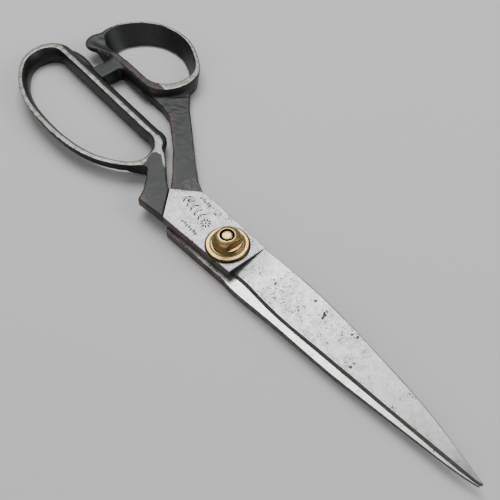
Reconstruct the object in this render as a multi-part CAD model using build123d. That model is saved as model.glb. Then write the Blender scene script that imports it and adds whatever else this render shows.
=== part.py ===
from build123d import *
import math
import os

# Fabric shears, closed and lying flat, in millimetres.
# The origin is on the pivot axis, level with the surface the shears lie on.
# +X points to the blade tips, +Y to the thumb bow and +Z up through the pivot nut.
# The finger half is the upper one. It turns about +Z over the thumb half.

# Blades and pivot plates
blade_length = 133.2        # pivot axis to the tip of the upper blade
blade_width = 19.0          # back to edge where a blade leaves its plate
blade_root = 10.8           # pivot axis to the step where the plates end
root_overlap = 1.7          # how far a blade's shape starts inside its plate
lower_tip_setback = 0.6     # how much shorter the lower blade is
plate_thickness = 4.45      # one half, at the pivot
plate_gap = 0.08            # between the two halves
plate_back = 39.5           # pivot axis to the point of the upper plate's V
plate_side = 11.0           # pivot axis to the long sides of the plates
steel_layer = 1.0           # hard steel along the inner face of each blade
edge_bevel = 1.1            # width of the ground bevel along the cutting edge
edge_land = 0.15            # flat left at the very edge
back_bevel = 0.7            # bevel along a blade's back
plate_chamfer = 0.3

# Pivot
bolt_diameter = 6.0
bolt_end_chamfer = 0.85
bolt_head_diameter = 14.0
bolt_head_thickness = 1.6
bolt_key_width = 3.0
bolt_key_reach = 1.6        # how far the key stands out from the head
head_clearance = 0.06       # round the head and its key, in the lower plate
turning_clearance = 0.05    # radial, between the bolt and what turns on it
fixed_clearance = 0.02      # radial, between the bolt and the lower plate
washer_gap = 0.05
washer_diameter = 18.6
washer_thickness = 1.2
washer_top_chamfer = 0.3
washer_teeth = 104
tooth_depth = 0.22
hub_diameter = 13.6
hub_height = 0.35
nut_diameter = 12.7
nut_collar = 1.0
nut_height = 5.0
nut_top_rim = 0.65          # flat ring round the mouth of the nut's bore
nut_waist_depth = 0.55      # how far the waist under the collar is turned in
nut_waist_height = 0.9
nut_flat_depth = 1.95       # how deep each spanner flat is cut into the dome
edge_break = 0.1            # small chamfer at the mouth of a bore

# Finger bow
finger_reach = 57.0         # pivot axis to the front of the bow
finger_bow_length = 97.0
finger_bow_low = -21.3
finger_bow_high = 14.2
finger_heel = -2.6          # y of the shank's low side where it leaves the bow
shank_pass = 6.0            # y of the shank's high side where the thumb shank passes it

# Thumb bow
thumb_reach = 88.5
thumb_bow_length = 55.7
thumb_bow_low = 27.0
thumb_bow_high = 64.5

# Both handles
bow_lift = 0.8              # underside of the bows above the resting surface
finger_relief = 50.0        # radius inside which the finger shank is only one plate thick
relief_flare = 14.0         # how much wider that relief is at the underside of the bow
bow_shoulder = 1.2          # height of the sloping shoulder under a bow's worn rim
thumb_neck_height = 5.2     # top of the thumb shank where it meets its bow
stop_gap = 0.10             # between the stop strut and the finger bow when closed
strut_width = 8.8
strut_height = 8.3
strut_setback = 28.0        # front of the thumb bow to the front of the strut
strut_lean = 0.7            # how far the strut's end leans to the front
strut_flare = 4.6           # how much wider the strut is where it leaves the bow
beak_length = 11.6          # rounded lip at the rear of the thumb bow
beak_width = 13.6
beak_thickness = 2.3
beak_bottom = 2.8           # where the beak's underside dies into the bow

lower_top = plate_thickness
upper_bottom = plate_thickness + plate_gap
plate_top = upper_bottom + plate_thickness
bow_middle = (bow_lift + plate_top) / 2
washer_bottom = plate_top + washer_gap
nut_bottom = washer_bottom + washer_thickness + hub_height
bolt_top = nut_bottom + nut_height

# A blade's plan: share of the way from the root to the tip, then back and edge as shares of the
# blade width, then the thickness left at the back as a share of the plate thickness.
upper_blade_plan = [
    (0.000, 0.579, -0.347, 1.000),
    (0.168, 0.660, -0.290, 0.970),
    (0.410, 0.679, -0.174, 0.845),
    (0.614, 0.611, -0.068, 0.690),
    (0.775, 0.511, 0.026, 0.555),
    (0.893, 0.379, 0.105, 0.455),
    (0.966, 0.287, 0.166, 0.385),
    (1.000, 0.250, 0.213, 0.330),
]
lower_blade_plan = [
    (0.000, -0.521, 0.437, 1.000),
    (0.168, -0.466, 0.484, 0.970),
    (0.410, -0.342, 0.495, 0.845),
    (0.614, -0.195, 0.453, 0.690),
    (0.775, -0.055, 0.379, 0.555),
    (0.893, 0.047, 0.310, 0.455),
    (0.966, 0.134, 0.258, 0.385),
    (1.000, 0.190, 0.228, 0.330),
]

# A bow's outline: share of its length from the front, share of its width from the low side.
# The straight bar closes each outline.
finger_outline = [
    (0.140, 1.000), (0.050, 0.950), (0.006, 0.790), (0.000, 0.600), (0.060, 0.365), (0.200, 0.135),
    (0.530, 0.000), (0.750, 0.072), (0.900, 0.270), (0.980, 0.490), (1.000, 0.690), (0.985, 0.880),
    (0.930, 0.985),
]
thumb_outline = [
    (0.220, 0.000), (0.070, 0.120), (0.000, 0.420), (0.030, 0.645), (0.200, 0.872), (0.430, 1.000),
    (0.600, 0.985), (0.810, 0.837), (0.930, 0.610), (1.000, 0.300), (0.970, 0.090), (0.860, 0.000),
]


def prism(points, bottom, top):
    """Upright block on a polygon drawn in plan."""
    face = make_face(Polyline(*points, close=True))
    return extrude(Pos(0, 0, bottom) * face, amount=top - bottom)


def post(diameter, bottom, top):
    """Round post on the pivot axis."""
    return extrude(Pos(0, 0, bottom) * Circle(diameter / 2), amount=top - bottom)


def turned(profile):
    """Turned piece from a half profile of (radius, height) points."""
    face = make_face(Polyline(*[(r, 0, z) for r, z in profile], close=True))
    return revolve(face, Axis.Z)


def blade_stations(plan, tip):
    """Real x, back, edge and back thickness at each station of a blade."""
    start = blade_root - root_overlap
    return [
        (start + share * (tip - start), back * blade_width, edge * blade_width, thick * plate_thickness)
        for share, back, edge, thick in plan
    ]


def blade_slices(plan, tip, inner, outward):
    """Cross sections of a blade's iron body and of its steel layer, root to tip.

    inner is the height of the flat inner face and outward is +1 for the upper blade, -1 for the lower.
    """
    body = []
    layer = []
    for x, back, edge, thick in blade_stations(plan, tip):
        width = abs(back - edge)
        side = math.copysign(1, back - edge)
        bevel = min(edge_bevel, 0.3 * width)
        rounded = min(back_bevel, 0.3 * width, 0.5 * (thick - steel_layer))
        weld = inner + outward * steel_layer
        outer = inner + outward * thick
        body.append([
            (x, back, weld), (x, edge + side * bevel, weld),
            (x, back - side * rounded, outer), (x, back, outer - outward * rounded),
        ])
        layer.append([
            (x, back, inner), (x, edge, inner),
            (x, edge, inner + outward * edge_land), (x, edge + side * bevel, weld), (x, back, weld),
        ])
    return body, layer


def through(slices):
    """Smooth solid through a row of cross sections."""
    return loft([Face(Wire.make_polygon(points, close=True)) for points in slices])


def blade_from(x, piece):
    """Keep the part of a blade in front of x."""
    length = 2 * blade_length
    keep = Pos(x + length / 2, 0, 0) * Box(length, 10 * blade_width, 10 * plate_thickness)
    return piece & keep


def upper_plate_outline():
    edge_y = upper_blade_plan[0][2] * blade_width - 1.4
    return [
        (-plate_back, 0), (-plate_back + 11, plate_side - 0.8), (blade_root, plate_side),
        (blade_root, edge_y), (-plate_back + 11, -plate_side - 0.5),
    ]


def lower_plate_outline():
    edge_y = lower_blade_plan[0][1] * blade_width
    return [
        (-plate_back + 1, 0.5), (-plate_back + 12, plate_side - 0.3), (blade_root, plate_side - 0.6),
        (blade_root, edge_y), (-plate_back + 14.7, -plate_side - 1.6),
    ]


def chamfered_rim(block, height):
    """Break the edges of a plate's outer face."""
    rim = block.edges().filter_by(Plane.XY).filter_by_position(Axis.Z, height - 0.01, height + 0.01)
    return chamfer(rim, plate_chamfer)


def finger_blade_body():
    body_slices, _ = blade_slices(upper_blade_plan, blade_length, upper_bottom, 1)
    plate = chamfered_rim(prism(upper_plate_outline(), upper_bottom, plate_top), plate_top)
    iron = plate + blade_from(blade_root - 0.5, through(body_slices))
    return iron - post(bolt_diameter + 2 * turning_clearance, upper_bottom - 1, plate_top + 1)


def finger_blade_edge():
    _, layer_slices = blade_slices(upper_blade_plan, blade_length, upper_bottom, 1)
    return blade_from(blade_root, through(layer_slices))


def head_pocket(clearance):
    """Shape of the bolt head with its key, grown by a clearance."""
    reach = bolt_head_diameter / 2 + bolt_key_reach + clearance
    width = bolt_key_width + 2 * clearance
    head = post(bolt_head_diameter + 2 * clearance, 0, bolt_head_thickness + clearance)
    key = Pos(-reach / 2, 0, (bolt_head_thickness + clearance) / 2)
    return head + key * Box(reach, width, bolt_head_thickness + clearance)


def thumb_blade_body():
    tip = blade_length - lower_tip_setback
    body_slices, _ = blade_slices(lower_blade_plan, tip, lower_top, -1)
    plate = chamfered_rim(prism(lower_plate_outline(), 0, lower_top), 0)
    iron = plate + blade_from(blade_root - 0.5, through(body_slices))
    iron -= post(bolt_diameter + 2 * fixed_clearance, -1, lower_top + 1)
    return iron - head_pocket(head_clearance)


def thumb_blade_edge():
    tip = blade_length - lower_tip_setback
    _, layer_slices = blade_slices(lower_blade_plan, tip, lower_top, -1)
    return blade_from(blade_root, through(layer_slices))


def pivot_bolt():
    end = bolt_top - bolt_end_chamfer
    radius = bolt_diameter / 2
    shank = turned([(0, 0), (radius, 0), (radius, end), (radius - bolt_end_chamfer, bolt_top), (0, bolt_top)])
    return shank + head_pocket(0)


def knurled_washer():
    """Milled disc with a low hub."""
    teeth = []
    for step in range(2 * washer_teeth):
        radius = washer_diameter / 2 - tooth_depth * (step % 2)
        angle = math.pi * step / washer_teeth
        teeth.append((radius * math.cos(angle), radius * math.sin(angle)))
    bore = bolt_diameter / 2 + turning_clearance
    outer = washer_diameter / 2
    face = washer_bottom + washer_thickness
    hub = hub_diameter / 2
    top = face + hub_height
    disc = turned([
        (bore, washer_bottom), (outer, washer_bottom), (outer, face - washer_top_chamfer),
        (outer - 2 * washer_top_chamfer, face), (hub + hub_height, face), (hub, top), (bore, top),
    ])
    return disc & prism(teeth, washer_bottom, top)


def domed_nut():
    """Dome with a collar, a waist below the collar and two spanner flats."""
    bore = bolt_diameter / 2 + turning_clearance
    foot = nut_diameter / 2
    waist = foot - nut_waist_depth
    crown = bore + nut_top_rim
    waist_top = nut_bottom + nut_waist_height
    collar_top = waist_top + nut_collar
    shoulder = foot - 2 * edge_break
    dome_height = bolt_top - collar_top
    dome_middle = (crown + 0.82 * (shoulder - crown), collar_top + 0.66 * dome_height)
    curves = [
        Line((bore, nut_bottom), (foot, nut_bottom)),
        ThreePointArc((foot, nut_bottom), (waist, nut_bottom + nut_waist_height / 2), (foot, waist_top)),
        Line((foot, waist_top), (foot, collar_top - 2 * edge_break)),
        Line((foot, collar_top - 2 * edge_break), (shoulder, collar_top)),
        ThreePointArc((shoulder, collar_top), dome_middle, (crown, bolt_top)),
        Line((crown, bolt_top), (bore + edge_break, bolt_top)),
        Line((bore + edge_break, bolt_top), (bore, bolt_top - edge_break)),
        Line((bore, bolt_top - edge_break), (bore, nut_bottom)),
    ]
    solid = revolve(Rot(90, 0, 0) * make_face(curves), Axis.Z)
    for side in (-1, 1):
        cutter = Pos(side * (2 * foot - nut_flat_depth), 0, (collar_top + bolt_top) / 2)
        solid -= cutter * Box(2 * foot, 3 * foot, dome_height)
    return solid


def bow_face(outline, rear, front, low, high, height):
    """Flat face of a bow's outline stretched into a rectangle."""
    points = [(front + u * (rear - front), low + v * (high - low)) for u, v in outline]
    bar = Line(points[-1], points[0])
    return Pos(0, 0, height) * make_face([Spline(*points), bar])


def bow_block(outline, sections):
    """Solid lofted up through a bow's outline at several heights."""
    return loft([bow_face(outline, *section) for section in sections])


def finger_box(rear, front, low, high, height):
    """The finger bow's rectangle at one height, moved in by the four insets."""
    bow_front = -finger_reach
    bow_rear = bow_front - finger_bow_length
    return bow_rear + rear, bow_front - front, finger_bow_low + low, finger_bow_high - high, height


def thumb_box(rear, front, low, high, height):
    bow_front = -thumb_reach
    bow_rear = bow_front - thumb_bow_length
    return bow_rear + rear, bow_front - front, thumb_bow_low + low, thumb_bow_high - high, height


def finger_bow_outside(grow):
    """The finger bow's outer walls: the rear tapers in and the bar flares out, going down."""
    return bow_block(finger_outline, [
        finger_box(3.2 - grow, 3.8 - grow, 3.2 - grow, -3.0 - grow, bow_lift),
        finger_box(2.2 - grow, 3.0 - grow, 1.3 - grow, -4.5 - grow, bow_middle),
        finger_box(1.3 - grow, 1.6 - grow, 0.4 - grow, -2.9 - grow, plate_top - bow_shoulder),
        finger_box(-grow, -grow, -grow, -grow, plate_top),
    ])


def finger_bow_hole():
    return bow_block(finger_outline, [
        finger_box(5.6, 6.2, 4.5, 2.0, bow_lift - 1),
        finger_box(5.4, 6.2, 5.0, 2.6, bow_middle),
        finger_box(2.6, 3.2, 2.0, 1.8, plate_top + 0.5),
    ])


def finger_shank():
    front = -finger_reach
    points = [
        (front - 12, finger_bow_high - 0.6), (front - 6.8, finger_bow_high - 1.2),
        (front + 0.9, finger_bow_high - 4.1), (front + 7.2, shank_pass),
        (-plate_back - 4.2, 1.8), (-plate_back, 0),
        (-plate_back + 11, -plate_side - 0.5), (-plate_back - 3.9, -plate_side - 2.6),
        (-plate_back - 6.7, -plate_side + 2.2), (front + 5.8, finger_heel - 1.2),
        (front + 1.6, finger_heel + 2.2), (front - 9, finger_heel - 2.2),
    ]
    shank = chamfered_rim(prism(points, bow_lift, plate_top), plate_top)
    relief = turned([
        (0, bow_lift - 1), (finger_relief + relief_flare, bow_lift - 1),
        (finger_relief + relief_flare, bow_lift), (finger_relief, upper_bottom), (0, upper_bottom),
    ])
    return shank - relief


def finger_handle():
    return finger_bow_outside(0) + finger_shank() - finger_bow_hole()


def thumb_bow_outside():
    return bow_block(thumb_outline, [
        thumb_box(4.7, -2.6, 0.8, 3.0, bow_lift),
        thumb_box(1.0, -2.6, 0.2, 0.7, bow_middle),
        thumb_box(0.2, -2.3, 1.5, 0.1, plate_top - bow_shoulder),
        thumb_box(0, -2.0, 2.6, 0, plate_top),
    ])


def thumb_bow_hole():
    return bow_block(thumb_outline, [
        thumb_box(11.4, 3.0, 5.4, 6.9, bow_lift - 1),
        thumb_box(6.2, 2.6, 5.2, 3.9, bow_middle),
        thumb_box(1.4, 1.6, 5.9, 1.4, plate_top + 0.5),
    ])


def between(start, end, share, rise):
    """Point part of the way along a straight line, raised in y."""
    return start[0] + share * (end[0] - start[0]), start[1] + share * (end[1] - start[1]) + rise


def thumb_shank():
    """Shank that climbs from under the upper plate to the thumb bow's neck."""
    front = -thumb_reach
    low = thumb_bow_low
    neck = (front + 10.7, low + 0.5)
    heel = (-plate_back - 2, 1.5)
    points = [
        (front - 6, low + 25), (front + 3, low + 18.5), (front + 11.5, low + 11.6),
        (-plate_back + 1.2, plate_side + 3.4), (-plate_back + 9.5, plate_side + 0.3),
        (-plate_back + 12, plate_side - 0.3), (-plate_back + 1, 0.5), heel,
        between(heel, neck, 0.21, 1.2), between(heel, neck, 0.52, 1.8), between(heel, neck, 0.81, 0.8), neck,
        (front + 2.5, low + 2.0), (front - 6, low + 1.5),
    ]
    shank = prism(points, 0, plate_top)
    low_end = -plate_back - 5
    ramp_end = -plate_back - 24
    top = plate_top + 1
    wedge = [
        (0, lower_top), (low_end, lower_top), (ramp_end, thumb_neck_height),
        (2 * front, thumb_neck_height), (2 * front, top), (0, top),
    ]
    cutter = make_face(Polyline(*[(x, 0, z) for x, z in wedge], close=True))
    return shank - extrude(cutter, amount=2 * thumb_bow_high, both=True)


def beak():
    """Rounded lip at the rear of the thumb bow, undercut so that only its rim is thin."""
    rear = -thumb_reach - thumb_bow_length
    middle = rear + 0.43 * beak_length
    top = plate_top - 0.3
    lip_bottom = top - beak_thickness
    tip = thumb_bow_low - 3.7
    outer = Pos(middle, tip + beak_width / 2, lip_bottom) * Ellipse(beak_length / 2, beak_width / 2)
    inner = Pos(middle + 2, tip + 0.62 * beak_width, beak_bottom) * Ellipse(beak_length / 3, beak_width / 4)
    web = [
        (middle + 1, tip + 0.3), (middle + 6, tip + 3.2), (middle + 14, tip + 6.0),
        (middle + 14, tip + 8.0), (middle + 1, tip + 8.0),
    ]
    return extrude(outer, amount=beak_thickness) + loft([inner, outer]) + prism(web, lip_bottom, top)


def stop_strut():
    """Strut that meets the finger bow when the shears are closed."""
    middle = -thumb_reach - strut_setback - strut_width / 2
    half = strut_width / 2
    root = thumb_bow_low + 3
    end = finger_bow_high
    points = [
        (middle - half, root), (middle + half + strut_flare, root),
        (middle + half + 0.2, root - 3.4), (middle + half + strut_lean, end),
        (middle - half + strut_lean, end),
    ]
    return prism(points, bow_lift, strut_height)


def thumb_handle():
    solid = thumb_bow_outside() + thumb_shank() + beak() + stop_strut()
    solid -= thumb_bow_hole()
    return solid - finger_bow_outside(stop_gap)


pieces = {
    "finger_handle": finger_handle,
    "finger_blade_body": finger_blade_body,
    "finger_blade_edge": finger_blade_edge,
    "thumb_handle": thumb_handle,
    "thumb_blade_body": thumb_blade_body,
    "thumb_blade_edge": thumb_blade_edge,
    "pivot_bolt": pivot_bolt,
    "knurled_washer": knurled_washer,
    "domed_nut": domed_nut,
}

os.makedirs("parts", exist_ok=True)
for name, make in pieces.items():
    export_step(make(), f"parts/{name}.step")
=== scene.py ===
import math

import bpy
import numpy as np
from mathutils import Matrix, Vector, noise


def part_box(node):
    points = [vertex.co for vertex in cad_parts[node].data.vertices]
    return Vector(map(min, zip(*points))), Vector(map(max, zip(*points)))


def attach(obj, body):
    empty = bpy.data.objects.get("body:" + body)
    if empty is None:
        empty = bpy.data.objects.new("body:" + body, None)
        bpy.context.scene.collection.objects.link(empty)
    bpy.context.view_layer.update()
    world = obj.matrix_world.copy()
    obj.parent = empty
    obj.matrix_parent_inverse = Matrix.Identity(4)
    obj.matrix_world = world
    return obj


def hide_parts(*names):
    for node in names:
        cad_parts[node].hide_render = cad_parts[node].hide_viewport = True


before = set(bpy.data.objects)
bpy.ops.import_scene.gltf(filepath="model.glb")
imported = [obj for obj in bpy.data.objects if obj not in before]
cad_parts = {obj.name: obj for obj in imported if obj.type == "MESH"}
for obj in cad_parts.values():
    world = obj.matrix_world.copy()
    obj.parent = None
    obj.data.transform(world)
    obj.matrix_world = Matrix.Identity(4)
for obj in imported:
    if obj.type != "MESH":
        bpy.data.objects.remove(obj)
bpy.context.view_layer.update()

# Tailor's shears, closed and lying flat. Metres. Origin on the pivot axis, level with the table.
mm = 0.001
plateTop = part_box("finger_blade_body")[1].z
washerLow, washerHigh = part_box("knurled_washer")
nutLow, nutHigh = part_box("domed_nut")


def pick(*pieces):
    # only these are selected, and the last one is active
    if bpy.context.object and bpy.context.object.mode != "OBJECT":
        bpy.ops.object.mode_set(mode="OBJECT")
    bpy.ops.object.select_all(action="DESELECT")
    for piece in pieces:
        piece.hide_set(False)
        piece.select_set(True)
    bpy.context.view_layer.objects.active = pieces[-1]


def edit(piece):
    pick(piece)
    bpy.ops.object.mode_set(mode="EDIT")
    bpy.ops.mesh.select_all(action="SELECT")


def leaveEdit():
    bpy.ops.object.mode_set(mode="OBJECT")


def addModifier(piece, kind, **settings):
    # adds a modifier and applies it at once
    pick(piece)
    mod = piece.modifiers.new(kind.lower(), kind)
    for key, value in settings.items():
        setattr(mod, key, value)
    bpy.ops.object.modifier_apply(modifier=mod.name)


def cutWith(piece, cutter, operation="DIFFERENCE"):
    addModifier(piece, "BOOLEAN", object=cutter, operation=operation, solver="EXACT")
    bpy.data.objects.remove(cutter, do_unlink=True)


def settle(piece):
    # place, turn and size go into the mesh
    pick(piece)
    bpy.ops.object.transform_apply(location=True, rotation=True, scale=True)


def roundShading(piece, angle=35):
    pick(piece)
    bpy.ops.object.shade_smooth_by_angle(angle=math.radians(angle))


def copyOfNode(node, name):
    # a welded copy of a CAD node, to be finished as a piece
    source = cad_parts[node]
    piece = bpy.data.objects.new(name, source.data.copy())
    bpy.context.scene.collection.objects.link(piece)
    piece.data.materials.clear()
    edit(piece)
    bpy.ops.mesh.remove_doubles(threshold=0.002 * mm)
    leaveEdit()
    return piece


def selectWhere(piece, test):
    # in object mode: goes into edit mode with the verts that pass a test on their place
    bpy.ops.object.mode_set(mode="EDIT")
    bpy.ops.mesh.select_mode(type="VERT")
    bpy.ops.mesh.select_all(action="DESELECT")
    bpy.ops.object.mode_set(mode="OBJECT")
    for vert in piece.data.vertices:
        vert.select = test(vert.co)
    bpy.ops.object.mode_set(mode="EDIT")


def turned(name, profile, segments=96, closed=True):
    # turned piece: a circle extruded and scaled from one (radius, height) to the next
    bpy.ops.object.select_all(action="DESELECT")
    radius, height = profile[0]
    bpy.ops.mesh.primitive_circle_add(vertices=segments, radius=radius * mm, location=(0, 0, height * mm))
    piece = bpy.context.object
    piece.name = name
    settle(piece)
    edit(piece)
    bpy.ops.mesh.select_mode(type="VERT")
    for nextRadius, nextHeight in profile[1:]:
        bpy.ops.mesh.extrude_region_move(TRANSFORM_OT_translate={"value": (0, 0, (nextHeight - height) * mm)})
        grow = nextRadius / radius
        bpy.ops.transform.resize(value=(grow, grow, 1), center_override=(0, 0, nextHeight * mm))
        radius, height = nextRadius, nextHeight
    if closed:
        bpy.ops.mesh.select_all(action="SELECT")
        bpy.ops.mesh.remove_doubles(threshold=0.005 * mm)
    else:
        bpy.ops.mesh.edge_face_add()
        bpy.ops.mesh.select_all(action="SELECT")
        bpy.ops.mesh.select_non_manifold()
        bpy.ops.mesh.edge_face_add()
    bpy.ops.mesh.select_all(action="SELECT")
    bpy.ops.mesh.normals_make_consistent(inside=False)
    leaveEdit()
    return piece


def arcProfile(start, end, bulge, steps):
    # points of a curve from start to end that swells out by bulge half way, without its first point
    points = []
    for step in range(1, steps + 1):
        share = step / steps
        swell = bulge * math.sin(math.pi * share)
        points.append((start[0] + share * (end[0] - start[0]) + swell, start[1] + share * (end[1] - start[1])))
    return points


def smoothstep(low, high, value):
    share = np.clip((value - low) / (high - low), 0, 1)
    return share * share * (3 - 2 * share)


class Sock:
    # one output socket; arithmetic on it adds Math nodes
    def __init__(self, paint, out):
        self.paint = paint
        self.out = out

    def calc(self, operation, *others):
        values = dict(enumerate((self,) + others))
        return self.paint.add("ShaderNodeMath", {"operation": operation}, values)

    def flip(self, operation, other):
        return self.paint.add("ShaderNodeMath", {"operation": operation}, {0: other, 1: self})

    def __add__(self, other):
        return self.calc("ADD", other)

    __radd__ = __add__

    def __sub__(self, other):
        return self.calc("SUBTRACT", other)

    def __rsub__(self, other):
        return self.flip("SUBTRACT", other)

    def __mul__(self, other):
        return self.calc("MULTIPLY", other)

    __rmul__ = __mul__

    def clamp(self):
        return self.paint.add("ShaderNodeClamp", {}, {0: self, 1: 0.0, 2: 1.0})

    def rise(self, low, high):
        # 0 below low, 1 above high, smooth between
        settings = {"interpolation_type": "SMOOTHSTEP", "clamp": True}
        return self.paint.add("ShaderNodeMapRange", settings, {0: self, 1: low, 2: high, 3: 0.0, 4: 1.0})

    def fall(self, low, high):
        return 1 - self.rise(low, high)


class Paint:
    # one material with its Principled shader, and the short ways to feed it
    def __init__(self, name, **fixed):
        self.material = bpy.data.materials.new(name)
        self.material.use_nodes = True
        self.tree = self.material.node_tree
        self.shader = self.tree.nodes["Principled BSDF"]
        for key, value in fixed.items():
            self.shader.inputs[key.replace("_", " ")].default_value = value
        coords = self.add("ShaderNodeTexCoord", {}, {}, "Object")
        self.place = self.add("ShaderNodeVectorMath", {"operation": "SCALE"}, {0: coords, "Scale": 1000.0})

    def add(self, kind, settings, values, output=0):
        node = self.tree.nodes.new(kind)
        for key, value in settings.items():
            setattr(node, key, value)
        for key, value in values.items():
            self.join(value, node.inputs[key])
        return Sock(self, node.outputs[output])

    def join(self, value, socket):
        if isinstance(value, Sock):
            self.tree.links.new(value.out, socket)
        elif isinstance(value, tuple) and len(value) == 3 and socket.type == "RGBA":
            socket.default_value = (*value, 1)
        else:
            socket.default_value = value

    def feed(self, **links):
        for key, value in links.items():
            self.join(value, self.shader.inputs[key.replace("_", " ")])

    def stretch(self, x, y, z, turn):
        # the piece's own place in millimetres, stretched for a pattern with a direction
        values = {0: self.place, "Rotation": (0, 0, math.radians(turn)), "Scale": (x, y, z)}
        return self.add("ShaderNodeMapping", {}, values)

    def cloud(self, size, detail=3.0, rough=0.5, warp=0.0, place=None):
        values = {"Vector": place or self.place, "Scale": 1 / size}
        values.update({"Detail": detail, "Roughness": rough, "Distortion": warp})
        return self.add("ShaderNodeTexNoise", {}, values)

    def cells(self, size):
        values = {"Vector": self.place, "Scale": 1 / size, "Randomness": 1.0}
        return self.add("ShaderNodeTexVoronoi", {"feature": "F1"}, values)

    def mix(self, factor, a, b):
        settings = {"data_type": "RGBA", "clamp_factor": True}
        return self.add("ShaderNodeMix", settings, {0: factor, 6: a, 7: b}, 2)

    def along(self, axis):
        return self.add("ShaderNodeSeparateXYZ", {}, {0: self.place}, axis)

    def facing(self, axis):
        normal = self.add("ShaderNodeTexCoord", {}, {}, "Normal")
        return self.add("ShaderNodeSeparateXYZ", {}, {0: normal}, axis)

    def own(self, attribute):
        return self.add("ShaderNodeAttribute", {"attribute_name": attribute}, {}, "Fac")

    def bump(self, height, strength, distance):
        values = {"Height": height, "Strength": strength, "Distance": distance * mm}
        return self.add("ShaderNodeBump", {}, values)


def pitting(paint, size, reach, zone):
    # round pits of uneven size: one in each cell of a grid, only where zone lets them through
    near = paint.cells(size)
    grow = paint.cloud(size * 1.7, 2, 0.5).rise(0.40, 0.70)
    return (grow * reach * zone - near).rise(-0.02, 0.10)


def groundIron():
    # blade bodies and plates: ground and rubbed soft iron, pitted in places, brown scale on the sides, darkened
    # further as painted shade
    look = {
        "bright": (0.73, 0.735, 0.73), "dull": (0.55, 0.56, 0.565), "stain": (0.31, 0.305, 0.30),
        "pit": (0.060, 0.052, 0.045), "side": (0.105, 0.080, 0.070), "scale": (0.018, 0.017, 0.016),
        "stepAt": 10.8, "ledgeTop": 4.7, "ledgeSide": -11.3, "bigPit": 2.3, "smallPit": 0.85,
    }
    paint = Paint("groundIron", Metallic=1.0)
    drift = paint.cloud(20, 3, 0.55, 0.4)
    mottle = paint.cloud(3.0, 5, 0.65, 0.3)
    fine = paint.cloud(0.5, 3, 0.6)
    grain = paint.cloud(1.0, 2, 0.6, 0, paint.stretch(0.05, 4.5, 1.0, turn=-4))
    scratch = paint.cloud(1.0, 1, 0.4, 0, paint.stretch(0.09, 9.0, 1.0, turn=23)).rise(0.70, 0.78)
    zone = (drift * 0.45 + paint.cloud(8, 3, 0.6, 0.5) * 0.65).rise(0.50, 0.64)
    big = pitting(paint, look["bigPit"], 0.40, zone)
    small = pitting(paint, look["smallPit"], 0.54, 0.50 + 0.50 * zone)
    specks = paint.cloud(0.42, 2, 0.5).rise(0.53, 0.65) * (0.25 + 0.75 * zone)
    mark = paint.own("mark")
    dark = (big * 0.85 + small * 0.75 + specks * 0.62 + mark * 0.95).clamp()
    flat = paint.facing(2).calc("ABSOLUTE").rise(0.60, 0.80)
    step = look["stepAt"]
    stepWall = paint.facing(0).rise(0.70, 0.90) * paint.along(0).rise(step - 1, step - 0.5)
    stepShade = paint.along(0).rise(step, step + 0.2) * paint.along(0).fall(step + 2, step + 9)
    base = paint.mix(mottle.rise(0.35, 0.72), look["bright"], look["dull"])
    base = paint.mix((mottle * 0.55 + drift * 0.45).rise(0.48, 0.70) * 0.28, base, look["stain"])
    base = paint.mix(grain.rise(0.35, 0.75) * 0.14 + stepShade * 0.60, base, look["stain"])
    # painted shade: the strip of the lower plate that stands out past the upper one, beside the upper plate's
    # edge, gets the same dark colour as the sides
    ledgeShade = paint.along(0).fall(step, step + 0.3)
    ledgeShade = ledgeShade * paint.along(2).fall(look["ledgeTop"], look["ledgeTop"] + 0.2)
    ledgeShade = ledgeShade * flat * paint.along(1).fall(look["ledgeSide"], look["ledgeSide"] + 0.9)
    plate = paint.along(0).fall(step - 0.4, step) * (0.55 + 0.45 * mottle)
    base = paint.mix(plate * 0.62, base, look["stain"])
    # painted shade: the sides get the dark side colour, which is brown scale darkened further
    base = paint.mix((1 - flat) * (0.72 + 0.28 * mottle), base, look["side"])
    base = paint.mix(ledgeShade * (0.70 + 0.30 * mottle), base, look["side"])
    base = paint.mix(dark, base, look["pit"])
    base = paint.mix(stepWall, base, look["scale"])
    rough = 0.26 + 0.14 * mottle + 0.07 * grain + 0.25 * dark + 0.05 * fine + 0.20 * (1 - flat) + 0.08 * plate
    height = 1 - dark * 0.9 - scratch * 0.10 - grain * 0.10 - fine * 0.05
    normal = paint.bump(height, 0.5, 0.06)
    paint.feed(Base_Color=base, Roughness=rough, Metallic=1 - stepWall * 0.9, Normal=normal)
    return paint.material


def edgeSteel():
    # hard steel layer: honed bright on its flat inner face; the ground edge bevel is darkened brown as painted
    # shade
    look = {
        "bright": (0.68, 0.68, 0.67), "smoke": (0.47, 0.47, 0.46),
        "bevel": (0.12, 0.105, 0.092), "stain": (0.05, 0.045, 0.04),
    }
    paint = Paint("edgeSteel", Metallic=1.0)
    flat = paint.facing(2).calc("ABSOLUTE").rise(0.88, 0.96)
    haze = paint.cloud(6, 4, 0.6, 0.3)
    lines = paint.cloud(1.0, 2, 0.6, 0, paint.stretch(0.04, 6.0, 6.0, turn=-4))
    nick = paint.cloud(1.1, 2, 0.5).rise(0.66, 0.72)
    specks = pitting(paint, 1.4, 0.34, haze.rise(0.40, 0.60))
    face = paint.mix(haze.rise(0.4, 0.7) * 0.4 + lines.rise(0.4, 0.8) * 0.2, look["bright"], look["smoke"])
    face = paint.mix(specks * 0.8, face, look["stain"])
    side = paint.mix(lines.rise(0.45, 0.8) * 0.35 + nick * 0.4, look["bevel"], look["smoke"])
    # painted shade: faces tilted away from flat take the dark bevel colour
    base = paint.mix(flat, side, face)
    rough = 0.20 + 0.12 * haze + 0.08 * lines + 0.15 * (1 - flat)
    height = 1 - lines * 0.3 - nick * 0.4 - specks * 0.5
    paint.feed(Base_Color=base, Roughness=rough, Normal=paint.bump(height, 0.35, 0.03))
    return paint.material


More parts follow.
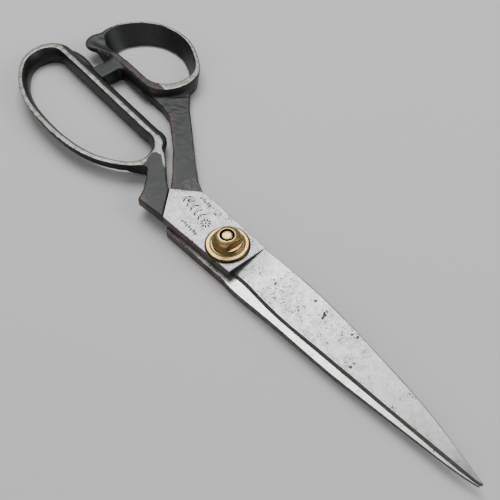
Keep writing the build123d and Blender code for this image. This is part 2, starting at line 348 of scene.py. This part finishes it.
def lacqueredIron(name, wrinkle):
    # black lacquer on forged iron. "worn" is bare metal from rubbing, "edge" is how sharp the surface turns
    look = {
        "lacquer": (0.006, 0.0062, 0.0065), "paintedSheen": (0.018, 0.021, 0.021), "bare": (0.27, 0.26, 0.245),
        "tarnish": (0.12, 0.106, 0.088), "undercoat": (0.085, 0.013, 0.008), "rust": (0.050, 0.030, 0.018),
    }
    paint = Paint(name, Specular_IOR_Level=0.40)
    broad = paint.cloud(13, 3, 0.55, 0.4)
    mid = paint.cloud(2.8, 4, 0.62, 0.4)
    fine = paint.cloud(0.7, 4, 0.65)
    chipNoise = mid * 0.5 + fine * 0.5
    worn = paint.own("worn") * 1.35 - chipNoise * 0.75
    edge = paint.own("edge") * 1.10 - chipNoise * 1.25
    bare = (worn - 0.10).rise(0.0, 0.12)
    edgeBare = (edge - 0.12).rise(0.0, 0.10)
    halo = ((worn + 0.14).rise(0.0, 0.12) - bare).clamp()
    edgeHalo = ((edge + 0.10).rise(0.0, 0.12) - edgeBare).clamp()
    redZone = paint.own("red") * (fine * 0.55 + mid * 0.55).rise(0.54, 0.63)
    chips = (fine * 0.6 + mid * 0.5).rise(0.55, 0.66) * paint.own("chipped")
    # painted sheen: faces turned up are lightened from the lacquer black towards a blue-grey
    up = paint.facing(2).rise(0.45, 0.98)
    coat = paint.mix(up * (0.30 + 0.70 * broad), look["lacquer"], look["paintedSheen"])
    browned = (paint.own("brown") * mid.rise(0.35, 0.65) + halo * 0.5 + edgeHalo * 0.6).clamp()
    coat = paint.mix(browned, coat, look["rust"])
    coat = paint.mix(redZone, coat, look["undercoat"])
    metal = paint.mix(mid.rise(0.42, 0.68) * 0.75, look["bare"], look["tarnish"])
    metal = paint.mix(fine.rise(0.64, 0.76) * 0.8, metal, look["rust"])
    shown = (bare + edgeBare * 0.8 + chips * 0.70).clamp()
    metal = paint.mix((edgeBare + chips - bare).clamp() * 0.60, metal, look["tarnish"])
    base = paint.mix(shown, coat, metal)
    rough = 0.31 + 0.16 * mid - 0.06 * shown + 0.10 * fine
    height = broad * 0.5 + mid * wrinkle + fine * 0.22 * wrinkle - shown * 0.35
    paint.feed(Base_Color=base, Roughness=rough, Metallic=shown * 0.95, Normal=paint.bump(height, 0.6, 0.14))
    return paint.material


def polishedBrass(name):
    # pale brass; painted shade browns the surface where it turns away from the top, and painted shade with some
    # dirt darkens the hollows
    look = {
        "gold": (0.45, 0.30, 0.105), "pale": (0.57, 0.43, 0.20),
        "brown": (0.13, 0.066, 0.021), "grimeAndShade": (0.010, 0.007, 0.004), "ringsPerMm": 5.0,
    }
    paint = Paint(name, Metallic=1.0)
    haze = paint.cloud(2.5, 4, 0.6, 0.4)
    fine = paint.cloud(0.35, 3, 0.6)
    x, y = paint.along(0), paint.along(1)
    radius = (x * x + y * y).calc("SQRT")
    lathe = {0: radius * look["ringsPerMm"], 1: paint.along(2) * look["ringsPerMm"]}
    rings = paint.cloud(1.0, 2, 0.6, 0, paint.add("ShaderNodeCombineXYZ", {}, lathe))
    hollow = paint.own("hollow")
    # painted shade: the more a face turns away from the top, the browner it is
    turnedAwayShade = paint.facing(2).fall(0.30, 0.97)
    base = paint.mix(haze.rise(0.35, 0.7), look["pale"], look["gold"])
    base = paint.mix((rings.rise(0.45, 0.8) * 0.2 + turnedAwayShade * (0.68 + 0.3 * haze)).clamp(), base, look["brown"])
    # painted shade with some grime in the hollows: first brown, then near black
    base = paint.mix(hollow * (0.6 + 0.4 * haze), base, look["brown"])
    base = paint.mix((hollow - 0.5).rise(0.0, 0.35), base, look["grimeAndShade"])
    rough = 0.20 + 0.10 * haze + 0.06 * rings + 0.28 * hollow
    height = rings * 0.5 + fine * 0.25
    paint.feed(Base_Color=base, Roughness=rough, Normal=paint.bump(height, 0.22, 0.02))
    return paint.material


def paleFloor():
    # plain matt ground with a trace of unevenness
    paint = Paint("paleFloor", Roughness=0.85)
    weave = paint.cloud(9, 3, 0.5)
    paint.feed(Base_Color=paint.mix(weave * 0.3, (0.74, 0.735, 0.72), (0.70, 0.695, 0.68)))
    return paint.material


forging = {
    "voxel": 0.42, "smoothing": 4, "waviness": 0.10, "waveSize": 7.0, "hammer": 0.045, "hammerSize": 2.2,
    "lowest": 0.02,
}


def forge(piece, seed):
    # one soft skin over the welded shape, then the unevenness of hand forging
    addModifier(piece, "REMESH", mode="VOXEL", voxel_size=forging["voxel"] * mm, adaptivity=0.0)
    addModifier(piece, "SMOOTH", factor=0.5, iterations=forging["smoothing"])
    mesh = piece.data
    shift = Vector((seed * 3.7, seed * 1.3, seed * 7.9))
    normals = [vert.normal.copy() for vert in mesh.vertices]
    for vert, normal in zip(mesh.vertices, normals):
        slow = noise.noise(vert.co / (forging["waveSize"] * mm) + shift)
        quick = noise.noise(vert.co / (forging["hammerSize"] * mm) + shift)
        vert.co += normal * mm * (forging["waviness"] * (slow - 0.5) + forging["hammer"] * (quick - 0.5))
        vert.co.z = max(vert.co.z, forging["lowest"] * mm)
    mesh.update()
    roundShading(piece, 60)


def sharpness(mesh):
    # per vertex: how far it stands out from its neighbours, blurred a little
    count = len(mesh.vertices)
    place = np.empty(count * 3)
    mesh.vertices.foreach_get("co", place)
    place = place.reshape(-1, 3)
    normal = np.empty(count * 3)
    mesh.vertices.foreach_get("normal", normal)
    normal = normal.reshape(-1, 3)
    edges = np.empty(len(mesh.edges) * 2, dtype=np.int64)
    mesh.edges.foreach_get("vertices", edges)
    edges = edges.reshape(-1, 2)
    links = np.zeros(count)
    np.add.at(links, edges[:, 0], 1)
    np.add.at(links, edges[:, 1], 1)

    def spread(values):
        total = np.zeros_like(values)
        np.add.at(total, edges[:, 0], values[edges[:, 1]])
        np.add.at(total, edges[:, 1], values[edges[:, 0]])
        return (total.T / links).T

    wide = place
    for _ in range(5):
        wide = 0.5 * wide + 0.5 * spread(wide)
    stand = ((place - wide) * normal).sum(axis=1) / mm
    for _ in range(2):
        stand = 0.5 * stand + 0.5 * spread(stand)
    return place / mm, normal, stand


def store(mesh, name, values):
    layer = mesh.attributes.new(name, "FLOAT", "POINT")
    layer.data.foreach_set("value", np.ascontiguousarray(values, dtype=np.float32))


def patch(place, x, y, reach):
    # soft round patch round a spot, in plan
    away = np.hypot(place[:, 0] - x, place[:, 1] - y)
    return 1 - smoothstep(0.35 * reach, reach, away)


def beside(place, points, reach):
    # soft band along a line through points, in plan
    band = np.zeros(len(place))
    for (ax, ay), (bx, by) in zip(points, points[1:]):
        dx, dy = bx - ax, by - ay
        share = np.clip(((place[:, 0] - ax) * dx + (place[:, 1] - ay) * dy) / (dx * dx + dy * dy), 0, 1)
        away = np.hypot(place[:, 0] - ax - share * dx, place[:, 1] - ay - share * dy)
        band = np.maximum(band, 1 - smoothstep(0.4 * reach, reach, away))
    return band


fingerBow = {
    "rimDepth": 0.23, "barEdge": 14.1, "barFront": -68,
    "swellingAt": (-134, 16.9, 5.0), "swellingReach": (11, 3.0, 3.2),
    # x of the line where the bare rim gives way to lacquer at the shank, for rising y
    "rimEndY": (-12, -2, 1.5, 3.5, 6.7, 8.3, 9.0, 13),
    "rimEndX": (-62.0, -57.4, -58.5, -59.9, -61.1, -59.9, -56.2, -53.0),
    "brightFlank": [(-57, 9.6), (-51, 6.6)],
    "heel": [(-45.5, -9.5), (-43, -13.4), (-33, -13.2)],
    "redLine": [(-59, 1.2), (-60.6, 5.0)],
    # x, y, reach and strength of the spots where the red undercoat shows
    "redSpots": [(-151, 11, 5, 1), (-64, 10.2, 4, 1), (-75, 11.5, 6, 0.6)],
}


def fingerHandle():
    piece = copyOfNode("finger_handle", "fingerBowAndShank")
    # hammered swelling on the rear of the bar, where the strut lands
    bpy.ops.object.select_all(action="DESELECT")
    bpy.ops.mesh.primitive_uv_sphere_add(
        segments=32, ring_count=16, radius=1 * mm,
        location=Vector(fingerBow["swellingAt"]) * mm, scale=fingerBow["swellingReach"],
    )
    swelling = bpy.context.object
    settle(swelling)
    cutWith(piece, swelling, "UNION")
    forge(piece, 1)
    mesh = piece.data
    place, normal, stand = sharpness(mesh)
    x, y, z = place.T
    top = plateTop / mm
    ends = np.interp(y, fingerBow["rimEndY"], fingerBow["rimEndX"])
    rim = smoothstep(top - fingerBow["rimDepth"], top - 0.07, z) * smoothstep(0.86, 0.97, normal[:, 2])
    onBar = x < fingerBow["barFront"]
    rim *= np.where(onBar, 1 - smoothstep(fingerBow["barEdge"], fingerBow["barEdge"] + 0.5, y), 1)
    rim *= 1 - smoothstep(-0.3, 0.3, x - ends)
    flank = beside(place, fingerBow["brightFlank"], 1.3) * smoothstep(top - 1.0, top - 0.2, z)
    store(mesh, "worn", np.maximum(rim, 0.9 * flank))
    heel = beside(place, fingerBow["heel"], 2.2)
    store(mesh, "edge", smoothstep(0.05, 0.15, stand) * (0.35 + heel))
    reds = [beside(place, fingerBow["redLine"], 1.5)]
    reds += [strength * patch(place, a, b, reach) for a, b, reach, strength in fingerBow["redSpots"]]
    store(mesh, "red", np.maximum.reduce(reds) * smoothstep(top - 3, top - 1, z))
    store(mesh, "brown", 0.7 * patch(place, -43, -11.5, 7) * smoothstep(3, 7, z))
    chipped = np.maximum(0.12 * smoothstep(top - 2, top, z), 0.8 * patch(place, -42.5, -12.5, 5))
    store(mesh, "chipped", chipped)
    piece.data.materials.append(lacqueredIron("fingerLacquer", 0.5))
    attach(piece, "finger_half")
    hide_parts("finger_handle")


thumbBow = {
    "saddleAt": (-134, 31.6, 12.0), "saddleReach": (12.5, 5.6, 4.6), "saddleTurn": 20, "rimDepth": 0.22,
    "wrinkle": 0.17, "wrinkleLength": 1.7, "wrinkleWidth": 2.8, "collar": 0.32, "collarAt": 1.6,
    "neck": (-86.5, 37.5, 0), "shankRun": (44, -33, 0), "wrinklesEnd": -41, "wrinklesTop": 7.2,
    # low corner, high corner and rounds of smoothing of the two places where forms run together
    "softJoins": [((-146, 22, 3.5), (-119, 44, 9.5), 18), ((-129, 24, 5), (-106, 31, 9.5), 7)],
    "lipWorn": [(-144.8, 27.7), (-143, 25), (-139.6, 23.3), (-136.3, 23.5), (-133.3, 26.3), (-127.7, 28.3)],
    "lip": [(-144.5, 32), (-144, 26), (-140, 23), (-134, 26), (-126, 28.6)],
    "bar": [(-125, 30), (-94, 31)],
    "shankHighEdge": [(-62, 30), (-48, 20.5), (-31, 11.3)],
    "shankLowEdge": [(-77, 28), (-70, 22.5), (-56, 12.5), (-40, 2.5)],
    # x, y and reach of the spots where the red undercoat shows
    "redSpots": [(-103, 31.5, 4), (-115, 31, 3), (-145, 34, 4), (-127, 37, 5), (-95, 33, 3)],
}


def wrinkleShank(mesh):
    # thick lacquer gathered in ridges across the shank, and a raised band where the shank leaves the bow
    axis = Vector(thumbBow["shankRun"]).normalized()
    across = Vector((-axis.y, axis.x, 0))
    start = Vector(thumbBow["neck"]) * mm
    normals = [vert.normal.copy() for vert in mesh.vertices]
    for vert, normal in zip(mesh.vertices, normals):
        along = (vert.co - start).dot(axis) / mm
        offShank = vert.co.x > thumbBow["wrinklesEnd"] * mm or vert.co.z > thumbBow["wrinklesTop"] * mm
        if normal.z < 0.3 or along < 0.3 or offShank:
            continue
        side = (vert.co - start).dot(across) / mm
        ridge = noise.noise(Vector((along / thumbBow["wrinkleLength"], side / thumbBow["wrinkleWidth"], 3.1)))
        fade = 0.30 + 0.70 * math.exp(-((along - 9) / 8) ** 2)
        band = math.exp(-((along - thumbBow["collarAt"]) / 0.8) ** 2)
        vert.co.z += mm * (thumbBow["wrinkle"] * ridge * fade + thumbBow["collar"] * band)
    mesh.update()


def thumbHandle():
    piece = copyOfNode("thumb_handle", "thumbBowAndShank")
    # saddle between the beak and the rear of the bow
    bpy.ops.object.select_all(action="DESELECT")
    bpy.ops.mesh.primitive_uv_sphere_add(
        segments=48, ring_count=24, radius=1 * mm, location=Vector(thumbBow["saddleAt"]) * mm,
        rotation=(0, 0, math.radians(thumbBow["saddleTurn"])), scale=thumbBow["saddleReach"],
    )
    hollow = bpy.context.object
    settle(hollow)
    cutWith(piece, hollow)
    forge(piece, 2)
    wrinkleShank(piece.data)
    # beak, saddle and strut run softly into the bow
    for low, high, repeat in thumbBow["softJoins"]:
        selectWhere(piece, lambda co: all(low[i] * mm < co[i] < high[i] * mm for i in range(3)))
        bpy.ops.mesh.vertices_smooth(factor=0.5, repeat=repeat)
        leaveEdit()
    mesh = piece.data
    place, normal, stand = sharpness(mesh)
    x, y, z = place.T
    top = plateTop / mm
    rim = smoothstep(top - thumbBow["rimDepth"], top - 0.07, z) * smoothstep(0.86, 0.97, normal[:, 2])
    arc = np.maximum(smoothstep(33.5, 36, y) * (x > -136), 0.55 * smoothstep(38, 46, y))
    highEdge = beside(place, thumbBow["shankHighEdge"], 1.3) * smoothstep(3.0, 4.2, z)
    lipBand = 0.43 * beside(place, thumbBow["lipWorn"], 1.0) * smoothstep(6.4, 7.2, z)
    shankBand = 0.85 * highEdge * smoothstep(0.02, 0.10, stand)
    store(mesh, "worn", np.maximum.reduce([rim * arc, shankBand, lipBand]))
    lowEdge = beside(place, thumbBow["shankLowEdge"], 2.6)
    lip = beside(place, thumbBow["lip"], 2.4)
    bar = beside(place, thumbBow["bar"], 2.4)
    rubbed = np.maximum.reduce([np.full(len(x), 0.35), lowEdge, lip, 0.7 * bar])
    store(mesh, "edge", smoothstep(0.04, 0.14, stand) * rubbed)
    reds = [patch(place, a, b, reach) for a, b, reach in thumbBow["redSpots"]]
    store(mesh, "red", np.maximum.reduce(reds + [0.5 * lowEdge * smoothstep(0.5, 3.0, z)]))
    inside = patch(place, -120, 50, 20) * smoothstep(0.5, 3, z)
    nearPlate = patch(place, -36, 9, 9)
    store(mesh, "brown", np.maximum.reduce([0.35 * inside, 0.7 * nearPlate, 0.6 * lowEdge, 0.6 * bar]))
    store(mesh, "chipped", np.maximum.reduce([nearPlate, 0.5 * lowEdge, 0.4 * bar]))
    piece.data.materials.append(lacqueredIron("thumbLacquer", 1.0))
    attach(piece, "thumb_half")
    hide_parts("thumb_handle")


blades = {"softEdge": 0.14, "flatAngle": 2.0, "punchDepth": 0.22, "ornamentFront": -10, "ornamentSide": 9.5}


def softBlade(node, name, body, material, marks=None):
    piece = copyOfNode(node, name)
    edit(piece)
    bpy.ops.mesh.dissolve_limited(angle_limit=math.radians(blades["flatAngle"]))
    leaveEdit()
    addModifier(
        piece, "BEVEL", width=blades["softEdge"] * mm, segments=2, limit_method="ANGLE",
        angle_limit=math.radians(28), use_clamp_overlap=True,
    )
    if marks:
        cutWith(piece, marks())
    roundShading(piece, 32)
    addModifier(piece, "WEIGHTED_NORMAL", keep_sharp=True, weight=80)

    def isSunk(co):
        inside = co.x < blades["ornamentFront"] * mm and abs(co.y) < blades["ornamentSide"] * mm
        return marks is not None and inside and plateTop - 0.4 * mm < co.z < plateTop - 0.03 * mm

    store(piece.data, "mark", np.array([float(isSunk(vert.co)) for vert in piece.data.vertices]))
    piece.data.materials.append(material)
    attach(piece, body)
    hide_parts(node)


def punch(x, y, long, wide, turn):
    # one bar or dot of the ornament, driven into the plate
    bpy.ops.object.select_all(action="DESELECT")
    bpy.ops.mesh.primitive_cylinder_add(
        vertices=8, radius=0.5 * mm, depth=2 * blades["punchDepth"] * mm,
        location=(x * mm, y * mm, plateTop), rotation=(0, 0, math.radians(turn)), scale=(long, wide, 1),
    )
    mark = bpy.context.object
    settle(mark)
    return mark


ornament = {
    "rosette": (-14.6, 0.2), "rosetteRadius": 1.75, "petals": 9,
    "sprigs": 5, "sprigStart": (-18.6, 1.0), "sprigStep": (-2.9, 0.32), "leafSpread": 1.5, "leafTurn": 52,
    # x and y of the first bar of each border, and how many bars it has
    "borders": [(-26.6, 6.9, 5), (-21.6, -6.6, 7)], "barStep": 1.45,
}


def punchMarks():
    # plain ornament: a row of sprigs between two borders of short bars, and a rosette
    marks = []
    rosetteX, rosetteY = ornament["rosette"]
    for step in range(ornament["petals"]):
        turn = 360 / ornament["petals"] * step
        x = rosetteX + ornament["rosetteRadius"] * math.cos(math.radians(turn))
        y = rosetteY + ornament["rosetteRadius"] * math.sin(math.radians(turn))
        marks.append(punch(x, y, 1.6, 0.7, turn))
    marks.append(punch(rosetteX, rosetteY, 1.0, 1.0, 0))
    for step in range(ornament["sprigs"]):
        x = ornament["sprigStart"][0] + ornament["sprigStep"][0] * step
        y = ornament["sprigStart"][1] + ornament["sprigStep"][1] * step
        marks.append(punch(x, y + ornament["leafSpread"], 2.5, 0.7, ornament["leafTurn"]))
        marks.append(punch(x, y - ornament["leafSpread"], 2.5, 0.7, -ornament["leafTurn"]))
        marks.append(punch(x - 0.5, y, 1.5, 0.6, 0))
        marks.append(punch(x + 1.4, y + 0.6, 0.6, 0.6, 0))
    for x, y, count in ornament["borders"]:
        for step in range(count):
            along = x + ornament["barStep"] * step
            marks.append(punch(along, y + 0.55 * (step % 2), 0.62, 1.9, 12))
            marks.append(punch(along + 0.75, y + 0.3, 0.45, 0.9, 0))
    pick(*marks)
    bpy.ops.object.join()
    return bpy.context.object


def allBlades():
    iron = groundIron()
    steel = edgeSteel()
    softBlade("finger_blade_body", "upperBlade", "finger_half", iron, punchMarks)
    softBlade("finger_blade_edge", "upperEdgeLayer", "finger_half", steel)
    softBlade("thumb_blade_body", "lowerBlade", "thumb_half", iron)
    softBlade("thumb_blade_edge", "lowerEdgeLayer", "thumb_half", steel)


def markShadeAndGrime(piece, test):
    # stores "hollow", which the brass paints as shade with some grime
    mesh = piece.data
    values = [test(vert.co.xy.length / mm, vert.co.z / mm) for vert in mesh.vertices]
    store(mesh, "hollow", np.array(values, dtype=float))


boreRadius = 3.05  # of the washer and the nut, loose on a bolt 6 mm thick

washer = {"teeth": 104, "toothDepth": 0.40, "edgeRound": 0.18, "hubRadius": 6.8, "hubHeight": 0.35}


def milledWasher():
    bore = boreRadius
    outer = washerHigh.x / mm
    low = washerLow.z / mm
    high = washerHigh.z / mm
    face = high - washer["hubHeight"]
    hub = washer["hubRadius"]
    soft = washer["edgeRound"]
    profile = [
        (bore, low), (outer - soft, low), (outer, low + soft), (outer, face - 0.45), (outer - 0.15, face - 0.2),
        (outer - 0.5, face), (outer - 1.2, face + 0.02), (hub + 0.9, face), (hub + 0.35, face + 0.06),
        (hub + 0.08, face + 0.24), (hub - 0.15, high), (bore + 0.15, high), (bore, high - 0.1), (bore, low),
    ]
    piece = turned("milledWasher", profile, 4 * washer["teeth"])
    # part of each pitch of the rim is pushed in to leave the milled teeth
    pitch = math.tau / washer["teeth"]
    pick(piece)

    def inGap(co):
        share = (math.atan2(co.y, co.x) / pitch) % 1.0
        return co.xy.length > (outer - 0.7) * mm and 0.4 < share < 0.85 and co.z > (low + 0.05) * mm

    selectWhere(piece, inGap)
    shrink = 1 - washer["toothDepth"] / outer
    bpy.ops.transform.resize(value=(shrink, shrink, 1), center_override=(0, 0, 0))
    leaveEdit()
    roundShading(piece, 32)
    gap = outer - 0.7 * washer["toothDepth"]

    # painted shade with some grime: dark at the foot of the milled rim, between the teeth and beside the hub
    def shadeAndGrimeAt(r, z):
        if r > outer - 0.6:
            return max(0.95 - (z - low) / 0.7, 0.8 if r < gap else 0.0, 0.0)
        return 0.45 if hub + 0.5 > r > hub and z < high - 0.1 else 0.0

    markShadeAndGrime(piece, shadeAndGrimeAt)
    piece.data.materials.append(polishedBrass("washerBrass"))
    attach(piece, "washer")
    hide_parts("knurled_washer")


nut = {"flatDepth": 1.95, "topRim": 0.30, "fullness": 2.7, "waistHeight": 0.95, "collarHeight": 0.95}


def domeNut():
    bore = boreRadius
    foot = nutHigh.x / mm
    low = nutLow.z / mm
    high = nutHigh.z / mm
    waistTop = low + nut["waistHeight"]
    collarTop = waistTop + nut["collarHeight"]
    domeFoot = foot - 0.25
    crown = bore + nut["topRim"]
    profile = [(bore, low), (foot - 0.35, low), (foot - 0.12, low + 0.05)]
    profile += arcProfile((foot - 0.12, low + 0.05), (foot - 0.06, waistTop), -0.5, 8)
    profile += [(foot, waistTop + 0.12), (foot, collarTop - 0.18)]
    profile += [(foot - 0.06, collarTop - 0.05), (domeFoot, collarTop)]
    rise = high - collarTop
    lastTurn = math.acos((crown / domeFoot) ** (nut["fullness"] / 2))
    for step in range(1, 15):
        turn = lastTurn * step / 15
        lift = (math.sin(turn) / math.sin(lastTurn)) ** (2 / nut["fullness"])
        profile.append((domeFoot * math.cos(turn) ** (2 / nut["fullness"]), collarTop + rise * lift))
    profile += [(crown, high), (bore + 0.15, high), (bore + 0.04, high - 0.05)]
    profile += [(bore, high - 0.18), (bore, low)]
    piece = turned("domeNut", profile, 128)
    # spanner flats
    for side in (-1, 1):
        bpy.ops.object.select_all(action="DESELECT")
        bpy.ops.mesh.primitive_cube_add(
            size=1 * mm, location=(side * (2 * foot - nut["flatDepth"]) * mm, 0, (collarTop + 5) * mm),
            scale=(2 * foot, 4 * foot, 10),
        )
        jaw = bpy.context.object
        settle(jaw)
        cutWith(piece, jaw)
    addModifier(
        piece, "BEVEL", width=0.12 * mm, segments=2, limit_method="ANGLE",
        angle_limit=math.radians(35), use_clamp_overlap=True,
    )
    roundShading(piece, 35)

    # painted shade with some grime: dark in the bore and below the waist
    def shadeAndGrimeAt(r, z):
        if r < bore + 0.02:
            return 1.0
        return 0.5 if z < waistTop else 0.0

    markShadeAndGrime(piece, shadeAndGrimeAt)
    piece.data.materials.append(polishedBrass("nutBrass"))
    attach(piece, "nut")
    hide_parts("domed_nut")


bolt = {"headRadius": 7.0, "headHeight": 1.6, "radius": 3.0, "keyLength": 2.6, "keyWidth": 3.0}


def pivotBolt():
    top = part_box("pivot_bolt")[1].z / mm
    head = bolt["headRadius"]
    rise = bolt["headHeight"]
    profile = [
        (0.4, 0), (head - 0.25, 0), (head, 0.2), (head, rise),
        (bolt["radius"], rise), (bolt["radius"], top - 0.95), (2.9, top - 0.85),
        (2.3, top - 0.28), (2.15, top - 0.14), (1.95, top - 0.05), (1.2, top), (0.4, top),
    ]
    piece = turned("pivotBolt", profile, 96, closed=False)
    # the key that stops the bolt turning stands out from the side of the head
    bpy.ops.object.select_all(action="DESELECT")
    bpy.ops.mesh.primitive_cube_add(
        size=1 * mm, location=(-(head + 0.3) * mm, 0, rise / 2 * mm),
        scale=(bolt["keyLength"], bolt["keyWidth"], rise),
    )
    key = bpy.context.object
    settle(key)
    cutWith(piece, key, "UNION")
    roundShading(piece, 35)
    # painted shade with some grime on the shank and on the chamfer ring at its end
    markShadeAndGrime(piece, lambda r, z: 1.0 if z > 2 and r > 2.25 else 0.0)
    piece.data.materials.append(polishedBrass("boltBrass"))
    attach(piece, "thumb_half")
    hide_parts("pivot_bolt")


stage = {
    "floorSize": 6.0, "skyStrength": 0.27, "skyColour": (0.93, 0.95, 1.0, 1),
    # name, place, power and size of each lamp
    "lamps": [
        ("keyLight", (-0.52, 0.26, 0.92), 8.0, 0.70),
        ("fillLight", (0.3, -0.8, 0.7), 1.6, 0.9),
        ("sideLight", (0.65, 0.55, 0.6), 3.0, 0.5),
    ],
}


def floorAndLight():
    bpy.ops.object.select_all(action="DESELECT")
    bpy.ops.mesh.primitive_plane_add(size=stage["floorSize"], location=(0, 0, 0))
    floor = bpy.context.object
    floor.name = "floor"
    floor.data.materials.append(paleFloor())
    for name, where, power, size in stage["lamps"]:
        data = bpy.data.lights.new(name, "AREA")
        data.energy = power
        data.size = size
        lamp = bpy.data.objects.new(name, data)
        lamp.location = where
        lamp.rotation_euler = (-Vector(where)).to_track_quat("-Z", "Y").to_euler()
        bpy.context.scene.collection.objects.link(lamp)
    world = bpy.data.worlds.new("studio")
    world.use_nodes = True
    sky = world.node_tree.nodes["Background"]
    sky.inputs[0].default_value = stage["skyColour"]
    sky.inputs[1].default_value = stage["skyStrength"]
    bpy.context.scene.world = world


cameraSetup = {
    "place": (0.185333, -0.139515, 0.302501), "forward": (-0.47710, 0.38912, -0.78801),
    "right": (0.63203, 0.77494, 0.0), "lens": 67.18, "sensor": 36,
}


def addCamera():
    data = bpy.data.cameras.new("camera")
    data.lens = cameraSetup["lens"]
    data.sensor_width = cameraSetup["sensor"]
    camera = bpy.data.objects.new("camera", data)
    forward = Vector(cameraSetup["forward"]).normalized()
    right = Vector(cameraSetup["right"]).normalized()
    up = right.cross(forward)
    turn = Matrix((right, up, -forward)).transposed()
    camera.matrix_world = Matrix.Translation(cameraSetup["place"]) @ turn.to_4x4()
    bpy.context.scene.collection.objects.link(camera)
    bpy.context.scene.camera = camera


addCamera()
floorAndLight()
print("stage ready")
fingerHandle()
print("finger handle forged")
thumbHandle()
print("thumb handle forged")
allBlades()
print("blades ground")
pivotBolt()
milledWasher()
domeNut()
print("pivot fitted")
